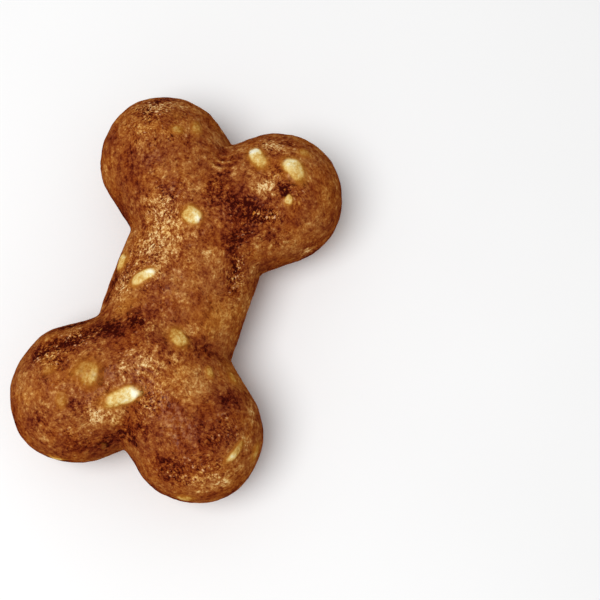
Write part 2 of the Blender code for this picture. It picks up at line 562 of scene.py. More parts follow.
PATCHES: dict[Tint, tuple[Patch, ...]] = {
    Tint.CHAR: (
        # The crease of the lobe at +X, -Y, and down the shaft's side from it
        Patch(14.3, -4.4, 2.0, 1.9, 92, 0.95),
        Patch(13.4, -8.0, 1.7, 1.4, 60, 1.0),
        Patch(8.8, -6.6, 1.3, 2.6, 10, 0.95),
        Patch(18.7, -11.2, 0.9, 1.3, 80, 2.0),
        Patch(16.8, -1.2, 1.1, 1.2, 0, 0.8),
        Patch(26.6, -9.2, 1.1, 1.8, 70, 0.7),
        # The lobe at +X, +Y
        Patch(12.6, 5.4, 0.7, 2.4, 60, 0.8),
        Patch(22.0, 5.4, 0.6, 1.8, 20, 0.6),
        Patch(24.2, 13.8, 1.3, 1.7, 110, 0.75),
        Patch(15.6, 12.2, 2.2, 1.6, 100, 0.35),
        # The shaft's crease at the lobe at -X, +Y, and on to that lobe
        Patch(-6.9, 3.6, 1.1, 1.6, 60, 0.95),
        Patch(-9.4, 7.4, 1.8, 1.9, 120, 1.0),
        Patch(-10.3, 13.1, 1.3, 1.9, 125, 1.5),
        Patch(-12.6, 11.2, 1.7, 2.0, 125, 0.8),
        Patch(-13.8, 13.2, 1.2, 1.6, 120, 0.5),
        Patch(-17.1, 16.1, 1.1, 1.8, 120, 0.8),
        Patch(-16.7, 10.3, 1.0, 1.3, 90, 0.45),
        Patch(-21.4, 7.7, 0.6, 1.0, 0, 0.8),
        # The notch at -X, and out along both of its lobes
        Patch(-23.2, -0.8, 1.4, 1.5, 60, 1.3),
        Patch(-25.4, 2.2, 1.3, 2.0, 130, 0.9),
        Patch(-27.6, 6.4, 1.6, 1.8, 110, 0.5),
        # The lobe at -X, -Y
        Patch(-25.3, -8.2, 1.5, 2.0, 95, 0.85),
        Patch(-20.2, -13.2, 1.4, 1.4, 40, 0.65),
        Patch(-13.6, -13.4, 1.6, 1.4, 120, 0.75),
        Patch(-7.6, -7.0, 1.1, 1.9, 150, 0.5),
        # Broad, faint browning
        Patch(23.4, 12.5, 1.2, 1.4, 100, 0.95),
        Patch(26.5, 13.0, 0.9, 1.5, 100, 1.1),
        Patch(15.2, 8.9, 1.6, 1.3, 0, 0.4),
        Patch(14.9, 16.2, 1.4, 1.4, 90, 0.5),
        Patch(11.6, -11.7, 1.4, 1.4, 60, 0.95),
        Patch(21.4, -9.3, 0.9, 1.5, 90, 0.7),
        Patch(19.4, -14.9, 1.8, 1.3, 0, 0.35),
        Patch(22.4, -18.0, 1.4, 1.6, 0, 0.4),
        Patch(18.7, -1.8, 1.2, 1.3, 0, 0.75),
        Patch(4.7, -7.7, 1.3, 1.7, 10, 1.35),
        Patch(3.7, 0.1, 1.4, 1.6, 60, 0.5),
        Patch(-3.1, 9.7, 1.2, 2.4, 0, 1.25),
        Patch(-3.4, 1.0, 1.2, 1.4, 0, 0.45),
        Patch(-10.5, -4.0, 1.2, 1.3, 0, 0.3),
        Patch(-14.4, -4.2, 1.2, 1.3, 0, 0.35),
        Patch(-15.2, 9.9, 1.4, 1.5, 120, 0.4),
        Patch(-15.3, 15.2, 1.3, 1.9, 120, 0.95),
        Patch(-20.0, 8.7, 1.0, 1.4, 0, 0.45),
        Patch(-21.8, 6.9, 1.0, 1.3, 0, 0.6),
        Patch(-25.5, 11.5, 1.7, 1.2, 0, 0.8),
        Patch(-21.8, -2.7, 1.4, 1.5, 60, 0.95),
        Patch(-27.0, -9.6, 1.3, 1.6, 90, 0.8),
        Patch(-20.4, -10.6, 1.1, 1.3, 0, 0.3),
    ),
    Tint.PALE: (
        Patch(7.6, 4.6, 3.0, 1.7, 35, 0.8),
        Patch(8.8, 5.0, 1.5, 1.6, 35, 0.7),
        Patch(5.4, 6.2, 1.3, 2.6, 165, 0.8),
        Patch(10.7, 8.8, 1.0, 1.4, 0, 1.4),
        Patch(9.9, 10.6, 1.0, 1.4, 0, 1.2),
        Patch(5.6, -3.4, 1.4, 1.9, 60, 0.5),
        Patch(1.2, 2.2, 1.3, 1.4, 60, 0.55),
        Patch(6.3, -10.0, 1.1, 2.2, 0, 1.0),
        Patch(-2.4, -10.3, 1.0, 1.8, 0, 0.5),
        Patch(23.2, -2.2, 1.2, 1.2, 0, 0.4),
        Patch(21.4, -3.7, 1.1, 1.3, 0, 0.6),
        Patch(18.2, -8.6, 1.5, 1.5, 100, 0.9),
        Patch(17.5, -8.0, 1.1, 1.3, 90, 1.3),
        Patch(19.2, -5.4, 1.6, 1.3, 0, 0.5),
        Patch(25.4, -7.4, 1.3, 1.5, 90, 0.6),
        Patch(24.6, 12.6, 1.3, 1.6, 100, 0.2),
        Patch(27.0, 10.8, 0.8, 1.8, 95, 0.9),
        Patch(27.1, 8.4, 0.9, 1.6, 95, 1.2),
        Patch(19.6, 11.4, 2.4, 1.2, 0, 0.4),
        Patch(-7.4, 1.0, 1.1, 1.3, 0, 1.5),
        Patch(-6.8, -4.6, 1.1, 1.4, 0, 1.0),
        Patch(-12.6, -0.8, 2.1, 1.5, 80, 0.8),
        Patch(-14.7, 2.2, 1.0, 1.4, 0, 1.2),
        Patch(-17.8, 3.4, 0.9, 1.3, 0, 1.3),
        Patch(-18.7, -17.6, 1.0, 1.5, 100, 1.0),
        Patch(-19.0, 12.8, 1.2, 1.3, 0, 0.45),
        Patch(-22.6, 11.4, 1.0, 1.2, 0, 0.4),
        Patch(-22.0, 3.4, 1.6, 1.7, 110, 1.3),
        Patch(-13.4, -7.4, 1.8, 1.3, 0, 0.15),
        Patch(-14.7, -17.3, 1.2, 1.6, 100, 1.3),
        Patch(-26.4, -12.6, 0.9, 2.4, 95, 0.8),
        Patch(-27.6, -13.6, 1.0, 1.6, 95, 0.8),
        Patch(-25.6, -15.8, 1.2, 2.0, 120, 1.0),
        Patch(-23.4, -17.2, 1.1, 1.5, 120, 0.8),
        Patch(-26.2, 5.6, 0.6, 2.4, 100, 0.5),
        Patch(14.4, -15.6, 1.8, 1.6, 30, 0.4),
        Patch(12.5, -16.7, 1.3, 2.0, 30, 2.2),
        Patch(10.2, -9.8, 0.4, 2.0, 164, 1.0),
    ),
    Tint.GOLD: (
        Patch(-5.6, 6.0, 1.8, 1.4, 0, 0.6),
        Patch(-3.1, -6.9, 2.0, 1.6, 20, 0.45),
        Patch(25.2, 8.8, 1.0, 1.0, 0, 0.5),
        Patch(-16.6, 14.6, 0.5, 1.8, 95, 0.7),
    ),
    Tint.ROUGH: (
        Patch(25.5, 12.4, 2.2, 1.6, 110, 1.4),
        Patch(20.6, 12.6, 2.4, 1.0, 0, 0.5),
        Patch(22.1, 7.3, 1.6, 1.0, 0, 0.5),
        Patch(9.6, 4.8, 3.0, 1.6, 15, 0.7),
        Patch(2.4, 5.4, 2.4, 1.8, 20, 0.9),
        Patch(0.6, 8.6, 2.0, 1.8, 10, 0.5),
        Patch(-2.8, 7.8, 1.7, 1.8, 10, 0.7),
        Patch(19.7, -8.8, 1.7, 1.5, 100, 0.7),
        Patch(18.6, -12.6, 1.3, 1.2, 0, 0.7),
        Patch(14.4, -10.0, 1.5, 1.2, 90, 1.3),
        Patch(25.1, -6.8, 1.8, 1.6, 90, 1.0),
        Patch(10.6, -7.6, 2.4, 1.4, 60, 0.55),
        Patch(4.6, -8.4, 1.4, 2.4, 15, 1.1),
        Patch(-16.5, 14.0, 2.2, 1.5, 110, 1.0),
        Patch(-12.0, 11.2, 2.2, 1.4, 120, 0.8),
        Patch(-12.8, 0.2, 3.2, 1.2, 90, 0.35),
        Patch(-18.0, -2.6, 2.2, 1.0, 0, 0.9),
        Patch(-21.5, 4.2, 1.6, 1.4, 110, 0.8),
        Patch(-25.6, 6.2, 1.2, 1.4, 100, 0.6),
        Patch(-17.9, -14.4, 2.0, 1.3, 120, 0.55),
        Patch(-24.6, -13.4, 2.6, 1.7, 100, 0.6),
        Patch(-27.2, -8.4, 1.4, 1.8, 95, 0.5),
    ),
}


@dataclass(frozen=True)
class Stain:
    """Colour that noise lays on the sides and the underside, where no patch is listed.

    As the noise rises from low to high, the stain rises from 0 to its strength.
    """

    strength: float
    size: float
    octaves: int
    low: float
    high: float
    seed: int

    def weights(self, points: Array) -> Array:
        """The stain's strength at each point."""
        cloud = fractal(points, self.size, self.octaves, gain=0.6, seed=self.seed)
        return self.strength * smooth_step(cloud, self.low, self.high)


STAINS: dict[Tint, Stain] = {
    Tint.CHAR: Stain(0.8, 8 * MM, 3, 0.35, 1.1, 61),
    Tint.PALE: Stain(0.6, 7 * MM, 3, 0.4, 1.2, 71),
    Tint.GOLD: Stain(0.5, 5 * MM, 2, 0.5, 1.2, 81),
    Tint.ROUGH: Stain(0.7, 6 * MM, 2, 0.2, 1.0, 91),
}


@dataclass(frozen=True)
class Wrinkle:
    """A stack of small curved folds where the dough was pressed at a notch.

    With w half of 1 plus the cosine of the distance from a pole over the spacing, its height is
    2 * w * w - 0.75, faded out as exp(-d * d) by the distance from its middle over its reach.
    That gives narrow ridges with broad hollows between them. Lengths are in millimetres.
    """

    along: float
    across: float
    reach: float
    spacing: float
    pole: float

    def heights(self, points: Array) -> Array:
        """The folds' height at each point.

        Args:
            points: points near the treat's surface.

        Returns:
            One height for each point, from -0.75 to 1.25.
        """
        plan = points[:, :2] / MM
        middle = np.array([self.along, self.across])
        pole = middle + np.array([self.pole, 0.0])
        fade = np.exp(-((plan - middle) ** 2).sum(axis=1) / self.reach**2)
        waves = (1 + np.cos(2 * math.pi * np.linalg.norm(plan - pole, axis=1) / self.spacing)) / 2
        return fade * (2 * waves**2 - 0.75)


WRINKLES = (
    Wrinkle(19.7, -0.4, 1.7, 1.2, 2.8),
    Wrinkle(-13.6, -0.8, 1.5, 1.15, -3.0),
)


@dataclass(frozen=True)
class Swell:
    """A place where the dough bulges out, or draws in. Its lengths are in millimetres.

    It moves the surface by its height times exp(-d * d), where d is the distance from its middle
    over its reach, seen from above.
    """

    along: float
    across: float
    reach: float
    height: float

    def heights(self, points: Array) -> Array:
        """How far it moves each point, in metres."""
        away = ((points[:, :2] / MM - np.array([self.along, self.across])) ** 2).sum(axis=1)
        return self.height * MM * np.exp(-away / self.reach**2)


SWELLS = (
    Swell(-11.6, 16.4, 3.6, 0.6),
    Swell(26.4, 17.6, 4.0, 0.22),
    Swell(-28.6, 14.0, 4.0, 0.3),
    Swell(-26.6, -17.0, 4.0, 0.4),
    Swell(0.4, 11.0, 3.0, 0.2),
    Swell(24.4, -18.1, 4.0, -0.2),
    Swell(30.0, -8.3, 3.0, -0.15),
    Swell(-26.8, -2.1, 2.5, -0.2),
    Swell(-29.5, -7.6, 3.0, -0.15),
)


@dataclass(frozen=True)
class Grain:
    """A grain on the upper side: its plan place, sizes and heading. Lengths are in millimetres.

    Taper is how much narrower it is at its far end. Cream is how much paler one end is than the
    rest: the far end above 0, the near one below. Veil is how much of it the dough covers.
    """

    along: float
    across: float
    length: float
    width: float
    heading: float
    taper: float = 0.0
    cream: float = 0.0
    veil: float = 0.0


SHOWN_GRAINS = (
    # Lobe at +X, -Y
    Grain(22.3, -5.45, 4.8, 2.6, 45, 0.3, 1.1, 0.14),
    Grain(22.1, -11.45, 4.7, 3.3, 58, -0.1, 0.6, 0.15),
    Grain(17.4, -12.1, 1.8, 1.5, -7, 0.05, 0.0, 0.25),
    Grain(25.6, -11.8, 2.4, 2.0, -58, 0.0, 0.0, 0.55),
    # Lobe at +X, +Y
    Grain(24.1, 5.2, 2.9, 2.0, 7, 0.0, 0.0, 0.54),
    Grain(22.5, 7.5, 2.3, 1.7, -65, 0.0, 0.0, 0.52),
    # Shaft
    Grain(10.4, 0.8, 3.4, 2.7, 73, 0.0, -0.8, 0.12),
    Grain(-0.5, 5.0, 4.4, 2.1, -47, 0.0, 1.0, 0.08),
    Grain(1.2, 9.3, 3.2, 2.8, -6, 0.0, 0.3, 0.25),
    Grain(-7.7, -3.3, 3.6, 3.1, 69, 0.1, 0.0, 0.3),
    # Lobe at -X, +Y
    Grain(-16.8, 7.4, 5.0, 4.2, 79, 0.0, -0.5, 0.52),
    Grain(-18.5, 1.45, 6.2, 2.6, -52, 0.0, 1.1, 0.08),
    Grain(-21.8, 9.4, 2.6, 1.7, 19, 0.0, 0.0, 0.6),
    Grain(-18.2, 12.9, 2.3, 1.9, -74, 0.0, 0.0, 0.7),
    Grain(-29.7, 8.8, 2.8, 1.5, -82, 0.0, 0.0, 0.35),
    # Lobe at -X, -Y
    Grain(-10.9, -9.3, 2.0, 1.5, 21, 0.0, 0.0, 0.45),
    Grain(-10.3, -12.4, 2.4, 1.9, 22, 0.0, 0.0, 0.5),
    Grain(-20.5, -16.7, 4.7, 1.6, -31, 0.0, -0.8, 0.4),
    Grain(-19.6, -19.2, 3.1, 1.9, 8, 0.0, 0.0, 0.5),
    Grain(-29.2, -11.5, 2.9, 1.9, -72, 0.0, 0.0, 0.4),
)


@dataclass(frozen=True)
class PlacedGrains:
    """All grains, one to a row: where each lies on the crust, how it is turned, and its sizes.

    A turn's rows are the grain's length, width and thickness directions. Looks hold its taper,
    its palest end and its veil.
    """

    places: Array
    turns: Array
    sizes: Array
    looks: Array


@dataclass(frozen=True)
class GrainScatter:
    """Where the grains lie: those that show, and others drawn at random out of sight.

    Heights are the range of the outward directions' z. Looks are the ranges of taper, cream and
    veil. The eye can see a grain if the cosine between its normal and the line to the eye is over
    seen_above.
    """

    flatness: float = 0.62
    hidden: int = 24
    draws_for_each: int = 12
    spacing: float = 5.0 * MM
    lengths: tuple[float, float] = (2.2 * MM, 4.2 * MM)
    slimness: tuple[float, float] = (0.5, 0.8)
    heights: tuple[float, float] = (-0.95, 0.2)
    looks: tuple[tuple[float, float], ...] = ((-0.2, 0.2), (-1.0, 1.0), (0.0, 0.9))
    share_on_lobes: float = 0.75
    seen_above: float = -0.12
    seed: int = 7

    def draws(self, form: BoneForm) -> tuple[Array, Array, Array, Array]:
        """Draws more places than are needed, each on a ray in towards a lobe or the shaft.

        Args:
            form: the smooth form.

        Returns:
            The rays' starts, their outward directions, the grains' headings, and their lengths
            and widths.
        """
        draw = random.Random(self.seed)
        rows = []
        for _ in range(self.draws_for_each * self.hidden):
            on_lobe = draw.random() < self.share_on_lobes
            if on_lobe:
                spine_x = draw.choice((-1, 1)) * form.lobe_centre[0]
                spine_y = draw.choice((-1, 1)) * form.lobe_centre[1]
            else:
                spine_x = draw.uniform(-form.root_x, form.root_x)
                spine_y = 0.0
            round_about = draw.uniform(0, 2 * math.pi)
            up = draw.uniform(*self.heights)
            level = math.sqrt(1 - up * up)
            out = (level * math.cos(round_about), level * math.sin(round_about), up)
            heading = [draw.gauss(0, 1) for _ in range(3)]
            length = draw.uniform(*self.lengths)
            width = length * draw.uniform(*self.slimness)
            rows.append(((spine_x, spine_y, form.axis_z), out, heading, (length, width)))
        spines, outs, headings, sizes = (np.array(column, float) for column in zip(*rows))
        return spines + outs * form.length, outs, headings, sizes

    def spaced(self, shown: Array, found: Array) -> list[int]:
        """Picks found places in order, each far enough from the shown ones and those picked.

        Args:
            shown: the places of the grains that show.
            found: the places that were drawn.

        Returns:
            The numbers of the picked places, as many as there are hidden grains.
        """
        kept: list[int] = []
        for number, place in enumerate(found):
            others = np.concatenate([shown, found[kept]])
            far = np.linalg.norm(others - place, axis=1).min() >= self.spacing
            if far and len(kept) < self.hidden:
                kept.append(number)
        return kept

    def placed(self, form: BoneForm, eye: tuple[float, float, float]) -> PlacedGrains:
        """Puts every grain on the smooth form.

        A shown grain drops on to it from above. A hidden one is kept if it lies far enough from
        those before it, and if the eye could see it, the dough covers it. A grain's length lies
        along its heading, flattened on to the surface.

        Args:
            form: the smooth form.
            eye: where the camera is.

        Returns:
            All grains, the shown ones first.
        """
        plan = np.array([(grain.along, grain.across) for grain in SHOWN_GRAINS]) * MM
        above = np.column_stack([plan, np.full(len(plan), 2 * form.height)])
        shown = form.cast(above, np.tile([0.0, 0.0, -1.0], (len(plan), 1)))
        turns = np.radians([grain.heading for grain in SHOWN_GRAINS])
        shown_headings = np.column_stack([np.cos(turns), np.sin(turns), np.zeros(len(turns))])
        shown_sizes = np.array([(grain.length, grain.width) for grain in SHOWN_GRAINS]) * MM
        shown_looks = np.array([(grain.taper, grain.cream, grain.veil) for grain in SHOWN_GRAINS])
        starts, outs, headings, sizes = self.draws(form)
        found = form.cast(starts, -outs)
        kept = self.spaced(shown, found)
        draw = np.random.default_rng(self.seed)
        looks = np.column_stack([draw.uniform(low, high, len(kept)) for low, high in self.looks])
        places = np.concatenate([shown, found[kept]])
        normals = form.normals(places)
        towards = np.array(eye) - places[len(shown) :]
        facing = (towards * normals[len(shown) :]).sum(axis=1) / np.linalg.norm(towards, axis=1)
        looks[:, 2] = np.where(facing > self.seen_above, 1.0, looks[:, 2])
        lines = np.concatenate([shown_headings, headings[kept]])
        lines = lines - (lines * normals).sum(axis=1, keepdims=True) * normals
        lines = lines / np.linalg.norm(lines, axis=1, keepdims=True)
        sides = np.cross(normals, lines)
        plan_sizes = np.concatenate([shown_sizes, sizes[kept]])
        thick = plan_sizes[:, 1:] * self.flatness
        return PlacedGrains(
            places,
            np.stack([lines, sides, normals], axis=1),
            np.column_stack([plan_sizes, thick]),
            np.concatenate([shown_looks, looks]),
        )


def folds(points: Array, normals: Array) -> Array:
    """The wrinkles' height at each point of the upper side, and 0 below it."""
    return sum(wrinkle.heights(points) for wrinkle in WRINKLES) * (normals[:, 2] > 0)


def new_piece(
    name: str, points: Array, quads: Array, material: bpy.types.Material
) -> bpy.types.Object:
    """Makes a smooth mesh piece at the origin that stands in for the treat's plain solid.

    Args:
        name: the piece's name.
        points: its points, in metres.
        quads: four point numbers to a face, anticlockwise seen from outside.
        material: its finish.

    Returns:
        The piece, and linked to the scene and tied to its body.
    """
    mesh = bpy.data.meshes.new(name)
    mesh.from_pydata(points.tolist(), [], quads.tolist())
    mesh.polygons.foreach_set("use_smooth", np.ones(len(quads), bool))
    mesh.materials.append(material)
    mesh.update()
    piece = bpy.data.objects.new(name, mesh)
    bpy.context.scene.collection.objects.link(piece)
    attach(piece, BODY)
    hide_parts(NODE)
    return piece


def add_masks(piece: bpy.types.Object, masks: dict[str, Array]) -> None:
    """Stores each mask on the piece's points as an attribute of its own name.

    Args:
        piece: the piece.
        masks: each mask's values by its name, one for each point.
    """
    for name, values in masks.items():
        layer = piece.data.attributes.new(name, "FLOAT", "POINT")
        layer.data.foreach_set("value", values.astype(np.float32))


@dataclass(frozen=True)
class Crust:
    """The baked crust: its relief, and the masks that its colours follow.

    Sizes are those of the noise's cells. The pits' reach is over their cells' side, and those of
    the footprint and the glow are over a grain's half sizes, with its thickness taken
    socket_thickness times. Ragged_size and ragged_shift say how noise breaks up the patches'
    edges.
    """

    lump_size: float = 4.6 * MM
    lump_height: float = 0.11 * MM
    crag_size: float = 2.3 * MM
    crag_height: float = 0.07 * MM
    crumb_size: float = 1.1 * MM
    crumb_height: float = 0.05 * MM
    pit_size: float = 2.6 * MM
    pit_depth: float = 0.16 * MM
    pit_reach: float = 0.28
    wrinkle_height: float = 0.12 * MM
    char_depth: float = 0.14 * MM
    socket_depth: float = 0.45 * MM
    socket_thickness: float = 2.5
    footprint_reach: tuple[float, float] = (0.7, 1.0)
    glow_reach: tuple[float, float] = (0.9, 1.5)
    ragged_size: float = 1.7 * MM
    ragged_shift: float = 0.6 * MM
    # painted shade: how much the creases between the parts are darkened
    crease_shade: float = 0.25
    base_char: float = 0.3
    most_rough: float = 1.3
    wrap: SkinWrap = SkinWrap()

    def heights(self, points: Array, normals: Array, form: BoneForm) -> Array:
        """How far the crust stands out of the smooth form.

        It adds lumps, crags and crumbs of noise, takes away round pits about the points
        scattered one to a cell, adds the wrinkles, and sinks where it is burnt. It fades out on
        the flat underside, where only the pits and the low parts are left. The swells are added
        to that, and they fade out there too.

        Args:
            points: points near the smooth form.
            normals: the form's normals there.
            form: the smooth form.

        Returns:
            One height for each point.
        """
        lumps = self.lump_height * noise(points, self.lump_size, seed=11)
        crags = self.crag_height * fractal(points, self.crag_size, octaves=2, gain=0.7, seed=23)
        crumbs = self.crumb_height * fractal(points, self.crumb_size, octaves=2, gain=0.8, seed=31)
        away = cell_distance(points, self.pit_size, seed=41)
        pits = self.pit_depth * (1 - smooth_step(away, 0, self.pit_reach))
        wrinkles = self.wrinkle_height * folds(points, normals)
        burnt = self.char_depth * self.tint(points, form, Tint.CHAR)
        whole = lumps + crags + crumbs + wrinkles - pits - burnt
        swells = sum(swell.heights(points) for swell in SWELLS)
        base = smooth_step(-normals[:, 2], 0.5, 0.95)
        return (whole + swells) * (1 - base) - 0.5 * np.abs(whole) * base

    def tint(self, points: Array, form: BoneForm, tint: Tint) -> Array:
        """One kind of broad colour: the sum of its patches, their edges broken up by noise.

        Args:
            points: points near the smooth form.
            form: the smooth form.
            tint: the kind of colour.

        Returns:
            One strength for each point.
        """
        shifts = [
            fractal(points, self.ragged_size, octaves=3, gain=0.85, seed=50 + axis)
            for axis in range(3)
        ]
        ragged = points + self.ragged_shift * np.stack(shifts, axis=1)
        return sum(patch.weights(ragged, form) for patch in PATCHES[tint])

    def masks(
        self, points: Array, normals: Array, form: BoneForm, grains: PlacedGrains
    ) -> dict[str, Array]:
        """The masks that the crust's colours follow.

        Patches of the upper side come from their lists, and stains of the sides and the underside
        from noise. The creases are darkened a little too, as painted shade, and the base is burnt a
        little. The crust is golden round the grains. The fold is the wrinkles' height, and the side
        how steep it is.

        Args:
            points: points near the smooth form.
            normals: the form's normals there.
            form: the smooth form.
            grains: where the grains lie.

        Returns:
            Each mask by its name.
        """
        hidden = 1 - smooth_step(normals[:, 2], 0.05, 0.4)
        masks = {
            tint.value: self.tint(points, form, tint) + hidden * STAINS[tint].weights(points)
            for tint in Tint
        }
        # painted shade: the creases between the lobes and the shaft are darkened through the char mask
        masks["char"] += self.crease_shade * form.crease_depth(points)
        masks["char"] += self.base_char * smooth_step(-normals[:, 2], 0.3, 0.9)
        masks["gold"] += self.sockets(points, grains)[1]
        masks["rough"] = np.minimum(masks["rough"], self.most_rough)
        masks["side"] = 1 - np.abs(normals[:, 2])
        masks["fold"] = folds(points, normals)
        return masks

    def sockets(self, points: Array, grains: PlacedGrains) -> tuple[Array, Array]:
        """Where the grains lie in the crust.

        For each grain, d is the length of a point's offset in the grain's own axes over its half
        sizes. The footprint and the glow fall from 1 to 0 as d goes through their reaches, and the
        glow is less where the dough covers the grain.

        Args:
            points: points near the smooth form.
            grains: where the grains lie.

        Returns:
            The highest footprint and glow of all grains at each point.
        """
        footprint = np.zeros(len(points))
        glow = np.zeros(len(points))
        halves = grains.sizes / 2 * np.array([1, 1, self.socket_thickness])
        for place, turn, half, veil in zip(grains.places, grains.turns, halves, grains.looks[:, 2]):
            away = np.linalg.norm((points - place) @ turn.T / half, axis=1)
            footprint = np.maximum(footprint, 1 - smooth_step(away, *self.footprint_reach))
            glow = np.maximum(glow, (1 - veil) * (1 - smooth_step(away, *self.glow_reach)))
        return footprint, glow

    def build(
        self, form: BoneForm, grains: PlacedGrains, finish: bpy.types.Material
    ) -> bpy.types.Object:
        """Wraps the form, raises the relief on it and stores the masks.

        Args:
            form: the smooth form.
            grains: where the grains lie.
            finish: the crust's material.

        Returns:
            The crust's piece.
        """
        skin = self.wrap.wrap(form)
        heights = self.heights(skin.points, skin.normals, form)
        footprint, _ = self.sockets(skin.points, grains)
        heights = heights * (1 - footprint) - self.socket_depth * footprint
        points = skin.points + heights[:, None] * skin.normals
        points[:, 2] = np.maximum(points[:, 2], 0)
        piece = new_piece("crust", fitted(points), skin.quads, finish)
        add_masks(piece, self.masks(skin.points, skin.normals, form, grains))
        return piece


def fitted(points: Array) -> Array:
    """Draws points in, axis by axis, where they would pass the treat's box.

    On each axis the points are scaled by the box's reach over their own, if that is under 1. A
    low side that lies at 0 is left out of it.

    Args:
        points: a piece's points, none of them below the table.

    Returns:
        The points, inside the box.
    """
    low, high = np.array(CAD_BOX[0]), np.array(CAD_BOX[1])
    over = np.minimum(np.abs(high / points.max(axis=0)), 1)
    under = np.minimum(np.abs(low / np.minimum(points.min(axis=0), -TINY)), 1)
    scale = np.minimum(over, np.where(low < -MM / 1000, under, 1))
    return points * scale


@dataclass(frozen=True)
class Kernels:
    """The pale grains that lie in the crust.

    Proud is how much of its thickness a grain stands out by, less sunk of that under a full veil.
    Spread is how far its dipping rim goes past its outline. Swells are the cosines' turns and
    strengths.
    """

    side: int = 16
    power: float = 2.4
    proud: float = 0.3
    sunk: float = 0.85
    spread: float = 1.25
    dip: float = 0.06 * MM
    dip_levels: tuple[float, float] = (0.1, 0.5)
    swells: tuple[tuple[int, float], ...] = ((2, 0.05), (3, 0.06), (5, 0.03))
    lowest: float = 0.02 * MM
    rim_reach: tuple[float, float] = (0.6, 1.22)
    rim_by_veil: float = 0.3
    cream_run: tuple[float, float] = (-0.15, 0.8)
    veil_slant: float = 0.7
    seed: int = 3

    def plans(self, grains: PlacedGrains) -> tuple[Array, Array]:
        """The grains' points seen from above, over their half sizes.

        A point of a unit ball is drawn out level by (|x|^p + |y|^p)^(-1/p) of its level direction.
        That swells by three cosines of the angle, and it narrows along the length by the taper.

        Args:
            grains: where the grains lie.

        Returns:
            Level places with the axes grain, point and coordinate, and the points' heights on the
            ball.
        """
        kept, _ = welded_quads(self.side)
        ball = ball_directions(self.side).reshape(-1, 3)[kept]
        angle = np.arctan2(ball[:, 1], ball[:, 0])
        level = np.abs(np.stack([np.cos(angle), np.sin(angle)], axis=1))
        reach = (level**self.power).sum(axis=1) ** (-1 / self.power)
        draw = np.random.default_rng(self.seed)
        swell = np.ones((len(grains.places), len(ball)))
        for turns, strength in self.swells:
            phase = draw.uniform(0, 2 * math.pi, (len(grains.places), 1))
            swell += strength * np.cos(turns * angle + phase)
        plans = ball[:, :2] * reach[:, None] * swell[..., None]
        plans[..., 1] *= 1 - grains.looks[:, :1] * plans[..., 0]
        return plans, ball[:, 2]

    def heights(self, grains: PlacedGrains, level: Array) -> Array:
        """How far the grains' points stand out of the crust.

        At the height z on the ball the top stands out by proud * z ** 3 of the thickness, and the
        bottom lies half of the thickness deep. Near the rim the grain dips under the crust.

        Args:
            grains: where the grains lie.
            level: the points' heights on the ball.

        Returns:
            Heights with the axes grain and point.
        """
        thick = grains.sizes[:, 2:]
        proud = thick * self.proud * (1 - self.sunk * grains.looks[:, 2:])
        dip = self.dip * (1 - smooth_step(level, *self.dip_levels))
        return proud * np.maximum(level, 0) ** 3 + thick / 2 * np.minimum(level, 0) - dip

    def build(
        self, form: BoneForm, crust: Crust, grains: PlacedGrains, finish: bpy.types.Material
    ) -> bpy.types.Object:
        """Makes one piece of all grains, with the masks of how they blend into the crust.

        Each point's level place is brought on to the smooth form, and it stands out of that by
        the crust's own height there and the grain's.

        Args:
            form: the smooth form.
            crust: the crust that the grains lie in.
            grains: where the grains lie.
            finish: the grains' material.

        Returns:
            The grains' piece.
        """
        _, quads = welded_quads(self.side)
        plans, level = self.plans(grains)
        count, size, _ = plans.shape
        all_quads = (quads[None] + size * np.arange(count)[:, None, None]).reshape(-1, 4)
        flat = plans * self.spread * grains.sizes[:, None, :2] / 2
        spots = grains.places[:, None] + np.einsum("gpc,gcd->gpd", flat, grains.turns[:, :2])
        ground = form.settle(spots.reshape(-1, 3), 3)
        normals = form.normals(ground)
        rise = crust.heights(ground, normals, form) + self.heights(grains, level).ravel()
        points = ground + rise[:, None] * normals
        points[:, 2] = np.maximum(points[:, 2], self.lowest)
        piece = new_piece("grains", fitted(points), all_quads, finish)
        masks = crust.masks(ground, normals, form, grains)
        add_masks(piece, self.blends(grains, plans, level) | masks)
        return piece

    def blends(self, grains: PlacedGrains, plans: Array, level: Array) -> dict[str, Array]:
        """The masks of how the grains blend into the crust.

        The rim rises from 0 to 1 as the distance from the grain's middle, over that of its
        outline, goes through its reach, and a veil brings it further in. The cream lies towards
        the palest end, and the veil is thicker towards the other.

        Args:
            grains: where the grains lie.
            plans: their points seen from above, over their half sizes.
            level: the points' heights on the ball.

        Returns:
            Each mask by its name.
        """
        cream, veil = grains.looks[:, 1:2], grains.looks[:, 2:]
        run = plans[..., 0]
        away = self.spread * np.sqrt(1 - np.maximum(level, 0) ** 2)
        rim = smooth_step(away + self.rim_by_veil * veil, *self.rim_reach)
        pale_end = np.abs(cream) * smooth_step(run * np.sign(cream), *self.cream_run)
        cover = np.clip(veil * (1 - self.veil_slant * run * cream), 0, 1)
        return {"rim": rim.ravel(), "cream": pale_end.ravel(), "veil": cover.ravel()}


